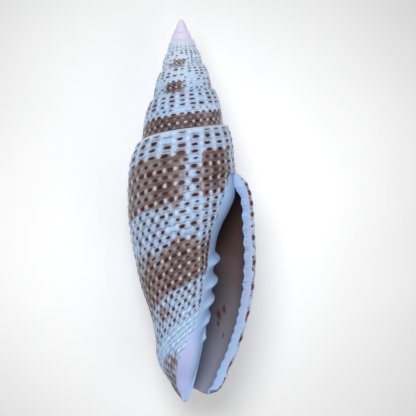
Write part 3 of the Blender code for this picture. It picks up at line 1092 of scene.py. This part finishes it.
def ground_colour(g, at):
    """Bluish white with painted shade in the grooves between the cords, mottled by fine noise, and brown
    where the flames are, darker under the painted groove shade.
    """
    groove_shade = groove_shade_amount(g, at)
    ground = g.mix(g.step(at.below_tip, *GROUND_YOUNG), GROUND_OLD, GROUND)
    ground = g.mix(g.times(g.step(g.add(at.fine, groove_shade), *SHADE_EDGE), SHADE), ground, GROUND_SHADE)
    ragged = g.times(g.step(at.cloud, *CLOUD_RAGGED_EDGE), CLOUD_RAGGED)
    amount = g.add(at.cloud, g.vary(mottling(g, at), ragged))
    brown = g.mix(g.step(g.rise(amount, CLOUD_GROOVE_SHADE, groove_shade), *CLOUD_DARKENS), CLOUD, CLOUD_DARK)
    return g.mix(g.times(g.step(amount, *CLOUD_SHOWS), CLOUD_COVER), ground, brown)


def add_beads(g, at, colour):
    bead = g.spot(at.beside, at.across, *BEAD_SIZE, BEAD_SOFT)
    strength = g.times(g.rise(*BEAD_STRENGTH, at.strong), g.rise(*BEAD_CHANCE, at.show_chance))
    return g.mix(g.times(bead, strength), colour, BEAD)


def dash_size(g, at):
    """How large the dashes are from 0 to 1, and their half length and half height."""
    large = g.add(g.times(at.strong, DASH_STRONG), g.times(at.in_cloud, DASH_IN_CLOUD))
    shrink = g.rise(1.0, DASH_OLD, at.old)
    half_length = g.add(g.rise(DASH_HALF_LENGTH, DASH_WIDE_MORE, at.wide), g.times(large, DASH_GROWS))
    varies = g.rise(*DASH_LENGTH_VARIES, at.old)
    half_length = g.times(shrink, g.add(half_length, g.times(at.length_chance, varies)))
    more_height = g.add(g.times(large, DASH_GROWS), g.times(at.height_chance, DASH_HEIGHT_VARIES))
    half_height = g.times(shrink, g.add(DASH_HALF_HEIGHT, more_height))
    return large, half_length, half_height


def dash_shown(g, at):
    """1 where a dash is drawn, which is neither on the tip nor on the plain lowest cords."""
    missing = g.add(g.rise(*MISSING, at.strong), g.times(at.old, g.rise(*MISSING_OLD, at.strong)))
    missing = g.minus(missing, g.times(at.in_cloud, MISSING_IN_CLOUD))
    shown = g.math("GREATER_THAN", at.show_chance, missing)
    below_tip = g.rise(at.below_tip, TIP_DASHES_UNEVEN, at.show_chance)
    off_tip = g.step(below_tip, TIP_FADE[0], TIP_FADE[1] + TIP_DASHES_UNEVEN)
    patterned = g.rest(g.times(g.step(at.cords, *PLAIN_CORDS), g.rest(at.in_cloud)))
    return g.times(shown, g.times(off_tip, patterned))


def add_dashes(g, at, colour):
    """Brown dashes along the cords, each with a faint halo and a paler edge."""
    large, half_length, half_height = dash_size(g, at)
    shown = dash_shown(g, at)
    along = g.add(at.along, g.vary(at.shift_chance, DASH_SHIFT))
    across = g.add(at.across, g.vary(at.pale_chance, DASH_DROP))
    shape = g.times(g.spot(along, across, half_length, half_height, DASH_SOFT, DASH_POWER), shown)
    halo_length = g.times(half_length, HALO_LENGTH)
    halo = g.spot(along, at.across, halo_length, g.times(half_height, HALO_HEIGHT), HALO_SOFT)
    colour = g.mix(g.times(g.times(halo, shown), HALO), colour, CLOUD)
    pale = g.times(at.pale_chance, g.rise(*PALE, large))
    pale = g.rise(pale, PALE_EDGE, g.rest(g.step(shape, *PALE_EDGE_AT)))
    return g.mix(shape, colour, g.mix(pale, DASH, DASH_PALE))


def add_white(g, at, colour):
    edge = g.rest(g.step(g.add(at.cords, at.wobble), *WHITE_EDGE))
    worn = g.spot(g.add(at.turns, -WORN_TURNS), g.add(at.cords, -WORN_CORDS), *WORN_SIZE, WORN_SOFT)
    worn = g.times(worn, g.step(at.mid, *WORN_PATCHES))
    return g.mix(g.times(g.most(edge, worn), WHITE), colour, BEAD)


def add_tip(g, at, colour):
    lilac = g.mix(g.step(at.broad, *TIP_PINK_PATCHES), TIP, TIP_PINK)
    share = g.rest(g.step(g.rise(at.below_tip, TIP_UNEVEN, at.mid), *TIP_FADE))
    return g.mix(share, colour, lilac)


def add_glaze(g, at, colour):
    low = g.times(g.step(at.cords, *GLAZE_LOW_CORDS), g.rest(g.step(at.turns, *GLAZE_LOW_TURNS)))
    glaze = g.mix(low, GLAZE, GLAZE_LOW)
    # painted shade on the upper callus towards the mouth, in patches
    shaded = g.times(g.step(at.turns, *GLAZE_SHADED_TURNS), g.rest(g.step(at.cords, *GLAZE_SHADED_CORDS)))
    glaze = g.mix(g.times(shaded, g.rise(*GLAZE_SHADED_PATCHES, at.mid)), glaze, GLAZE_SHADED)
    lip = g.mix(g.step(at.cords, *LIP_CORDS), LIP, GLAZE)
    glaze = g.mix(g.math("LESS_THAN", at.turns, LIP_TURNS), glaze, lip)
    return g.mix(at.glaze, colour, glaze)


def add_margins(g, at, colour):
    speck = g.noise(g.join(g.times(at.turns, SPECK_TURN), g.times(at.cords, SPECK_CORD)), 1.0, 1.0)
    speck = g.minus(speck, g.times(g.step(at.cords, *SPECKS_FEWER_CORDS), SPECKS_FEWER))
    colour = g.mix(g.times(at.margin, g.step(speck, *SPECK_EDGE)), colour, DASH_PALE)
    # the dark rim at the lower end is painted shadow
    return g.mix(g.times(at.rim_shadow, RIM_SHADOW), colour, CLOUD_DARK)


def add_inside(g, at, colour):
    """The hollow's wall, brown above and grey below, with its stains."""
    height = g.rise(at.cords, INSIDE_UNEVEN, at.broad)
    inside = g.mix(g.step(height, *INSIDE_CORDS), INSIDE_HIGH, INSIDE_LOW)
    for turns, cords, half_width, half_height in STAINS:
        x = g.rise(g.add(at.turns, -turns), STAIN_WOBBLE, at.wobble)
        y = g.add(g.add(at.cords, -cords), at.wobble)
        stain = g.spot(x, y, half_width, half_height, STAIN_SOFT)
        inside = g.mix(g.times(stain, STAIN_COVER), inside, STAIN)
    return g.mix(at.dark, colour, inside)


def shell_material():
    g = Graph("shell")
    at = Pattern(g)
    colour = ground_colour(g, at)
    for add_layer in (add_beads, add_dashes, add_white, add_tip, add_glaze, add_margins, add_inside):
        colour = add_layer(g, at, colour)
    bump = g.node("ShaderNodeBump")
    g.put(bump.inputs["Strength"], BUMP_STRENGTH)
    g.put(bump.inputs["Distance"], BUMP_DISTANCE)
    g.put(bump.inputs["Height"], g.times(at.fine, g.rest(at.glaze)))
    g.put(g.surface["Base Color"], colour)
    g.put(g.surface["Specular IOR Level"], SPECULAR)
    g.put(g.surface["Roughness"], g.rise(*ROUGHNESS, at.fine))
    g.put(g.surface["Normal"], bump.outputs[0])
    return g.material


def make_shell():
    """The outside with the hollow cut out of it, turned onto its back and set on the solid's tip."""
    shell = outside()
    tube = cavity()
    material = shell_material()
    shell.data.materials.append(material)
    tube.data.materials.append(material)
    modifier = shell.modifiers.new("hollow", "BOOLEAN")
    modifier.operation = "DIFFERENCE"
    modifier.solver = "EXACT"
    modifier.object = tube
    made = bpy.data.meshes.new_from_object(shell.evaluated_get(bpy.context.evaluated_depsgraph_get()))
    shell.modifiers.clear()
    shell.data = made
    bpy.data.objects.remove(tube)
    made.transform(Matrix.Translation(tip_in_frame()) @ resting_turn())
    made.shade_smooth()
    return shell


# the floor is just under the beads on the shell's back; a pool of light is painted on it, bright near the
# shell and greyer away from it, and it glows with a painted glow of the same colour
FLOOR_SIZE = 4
FLOOR_DROP = -0.00013
FLOOR_PAINTED_BRIGHT = (0.95, 0.95, 0.95, 1)
FLOOR_PAINTED_DIM = (0.5, 0.5, 0.5, 1)
FLOOR_PAINTED_FALLOFF = (0.012, 0.062)
FLOOR_UNEVEN = 0.012
FLOOR_NOISE = 30.0
FLOOR_PAINTED_GLOW = 0.18
FLOOR_ROUGHNESS = 0.7


def floor_material():
    g = Graph("floor")
    position = g.node("ShaderNodeNewGeometry").outputs["Position"]
    length = g.node("ShaderNodeVectorMath", operation="LENGTH")
    g.put(length.inputs[0], position)
    away = g.rise(length.outputs["Value"], FLOOR_UNEVEN, g.noise(position, FLOOR_NOISE))
    # painted pool of light: bright near the shell and greyer away from it
    colour = g.mix(g.step(away, *FLOOR_PAINTED_FALLOFF), FLOOR_PAINTED_BRIGHT, FLOOR_PAINTED_DIM)
    g.put(g.surface["Base Color"], colour)
    # painted glow: the floor lights itself in its own colour
    g.put(g.surface["Emission Color"], colour)
    g.put(g.surface["Emission Strength"], FLOOR_PAINTED_GLOW)
    g.put(g.surface["Roughness"], FLOOR_ROUGHNESS)
    return g.material


def make_floor():
    bpy.ops.mesh.primitive_plane_add(size=FLOOR_SIZE)
    floor = bpy.context.object
    floor.name = "floor"
    floor.location.z = FLOOR_DROP
    floor.data.materials.append(floor_material())


# the view of the photograph, in the shell's own frame: the tip leans away, and the shell leans to the right
VIEW_DIP = math.radians(6.5)
VIEW_ROLL = math.radians(-1.5)
MM_PER_PIXEL = 0.1304
IMAGE_SIDE = 416
TIP_PIXEL = (181, 19.5)
CAMERA_DISTANCE = 1.2


def make_camera():
    """Sees the tip of the spire at TIP_PIXEL, and the whole picture at MM_PER_PIXEL."""
    turn = resting_turn().to_3x3()
    ahead = Vector((0, math.cos(VIEW_DIP), math.sin(VIEW_DIP)))
    up = Vector((0, -math.sin(VIEW_DIP), math.cos(VIEW_DIP)))
    up = up * math.cos(VIEW_ROLL) - ahead.cross(up) * math.sin(VIEW_ROLL)
    right, up, back = (turn @ v for v in (ahead.cross(up), up, -ahead))
    across, down = ((IMAGE_SIDE / 2 - pixel) * MM_PER_PIXEL * MM for pixel in TIP_PIXEL)
    centre = tip_in_frame() + right * across - up * down
    data = bpy.data.cameras.new("camera")
    data.lens = data.sensor_width * CAMERA_DISTANCE / (IMAGE_SIDE * MM_PER_PIXEL * MM)
    camera = add_object("camera", data)
    rotation = Matrix((right, up, back)).transposed().to_4x4()
    camera.matrix_world = Matrix.Translation(centre + back * CAMERA_DISTANCE) @ rotation
    bpy.context.scene.camera = camera


# lights as (name, place, size, power), all aimed at one point, and the even light around
LIGHTS = [("key", (-0.16, 0.2, 0.62), 0.35, 2.2), ("fill", (0.35, -0.2, 0.5), 0.5, 0.65)]
LIGHTS_AIM = Vector((0, 0, 0.005))
WORLD_STRENGTH = 0.44


def make_light(name, place_at, size, power):
    data = bpy.data.lights.new(name, "AREA")
    data.shape = "DISK"
    data.size = size
    data.energy = power
    light = add_object(name, data)
    light.location = place_at
    light.rotation_euler = (LIGHTS_AIM - light.location).to_track_quat("-Z", "Y").to_euler()


def make_world():
    world = bpy.data.worlds.new("studio")
    bpy.context.scene.world = world
    world.use_nodes = True
    background = world.node_tree.nodes["Background"]
    background.inputs["Color"].default_value = (1, 1, 1, 1)
    background.inputs["Strength"].default_value = WORLD_STRENGTH


bpy.context.scene.view_settings.view_transform = "Standard"
make_camera()
make_world()
make_floor()
for light in LIGHTS:
    make_light(*light)
shell = make_shell()
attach(shell, "root")
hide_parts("shell")
